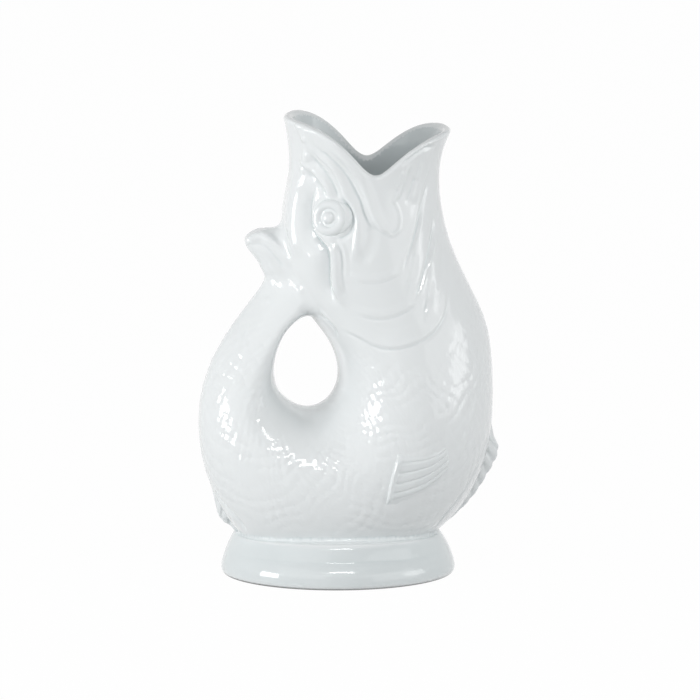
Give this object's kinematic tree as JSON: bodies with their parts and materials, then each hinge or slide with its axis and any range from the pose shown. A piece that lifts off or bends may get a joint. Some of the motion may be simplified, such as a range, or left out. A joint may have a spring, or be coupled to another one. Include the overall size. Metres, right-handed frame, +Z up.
{
  "type": "gurgle jug",
  "caption": "Fish-shaped glazed pouring jug on a round foot: open mouth as the spout, hollow tail curled up to the head as the handle.",
  "frame": {"origin": "centre of the foot on the table", "axes": "+Z up towards the mouth, +X towards the throat and pouring lip, +Y to the left of a person who pours"},
  "size_m": [0.1608, 0.124, 0.2457],
  "materials": {
    "white_glaze": "gloss",
    "bare_clay": "matt"
  },
  "bodies": {
    "root": {"foot": "white_glaze", "floor_slab": "bare_clay", "belly": "white_glaze", "head": "white_glaze", "tail_handle": "white_glaze", "tail_fin": "white_glaze", "belly_fin": "white_glaze", "anal_fin": "white_glaze", "right_eye": "white_glaze", "left_eye": "white_glaze", "right_jaw_plate": "white_glaze", "left_jaw_plate": "white_glaze", "right_brow_fold": "white_glaze", "left_brow_fold": "white_glaze", "right_cheek_fold": "white_glaze", "left_cheek_fold": "white_glaze", "right_throat_fold": "white_glaze", "left_throat_fold": "white_glaze", "right_gill_cover": "white_glaze", "left_gill_cover": "white_glaze", "right_pectoral_fin": "white_glaze", "left_pectoral_fin": "white_glaze"}
  },
  "joints": []
}
